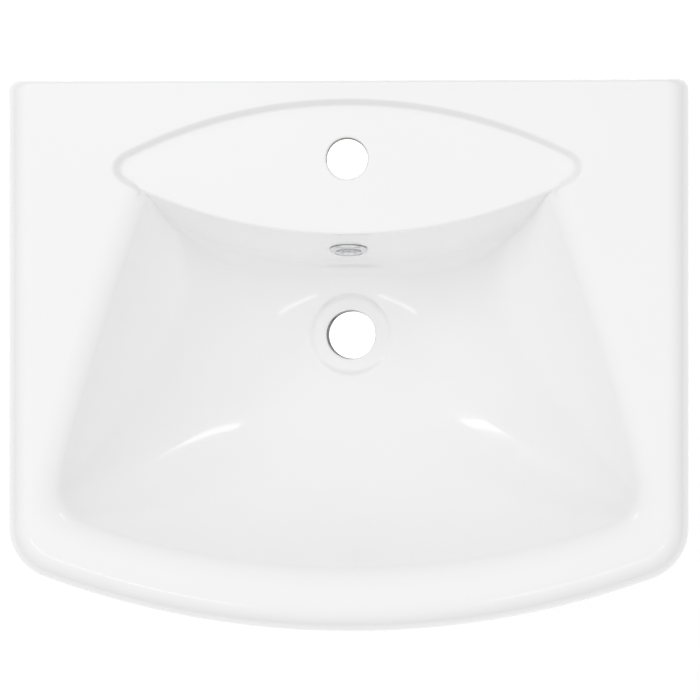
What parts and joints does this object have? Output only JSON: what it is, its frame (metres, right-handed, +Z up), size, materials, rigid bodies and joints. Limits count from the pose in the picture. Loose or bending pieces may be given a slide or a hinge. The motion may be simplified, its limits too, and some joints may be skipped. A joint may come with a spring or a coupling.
{
  "type": "pedestal sink",
  "caption": "White glazed ceramic wash basin with a bowed front and a leaf-shaped tap ledge, on a full-height open-backed pedestal.",
  "frame": {"origin": "on the floor, under the middle of the basin's plan outline", "axes": "+Z up; +Y towards the wall the basin is fixed to; -Y is the user's side; +X to the user's right when facing the wall"},
  "size_m": [0.58, 0.47, 0.85],
  "materials": {
    "ceramic": "gloss white glaze",
    "chrome": "polished",
    "zinc_steel": "bright zinc plated",
    "nylon": "natural white nylon",
    "cap_plastic": "gloss white",
    "rubber": "grey closed-cell seal"
  },
  "bodies": {
    "root": {"basin": "ceramic", "pedestal": "ceramic", "overflow_ring": "chrome", "head_gasket": "rubber", "wall_stud_left": "zinc_steel", "wall_stud_right": "zinc_steel", "stud_sleeve_left": "nylon", "stud_sleeve_right": "nylon", "stud_washer_left": "zinc_steel", "stud_washer_right": "zinc_steel", "stud_nut_left": "zinc_steel", "stud_nut_right": "zinc_steel", "stud_cap_left": "cap_plastic", "stud_cap_right": "cap_plastic", "floor_screw_left": "zinc_steel", "floor_screw_right": "zinc_steel", "floor_screw_sleeve_left": "nylon", "floor_screw_sleeve_right": "nylon", "floor_screw_cap_left": "cap_plastic", "floor_screw_cap_right": "cap_plastic"}
  },
  "joints": []
}
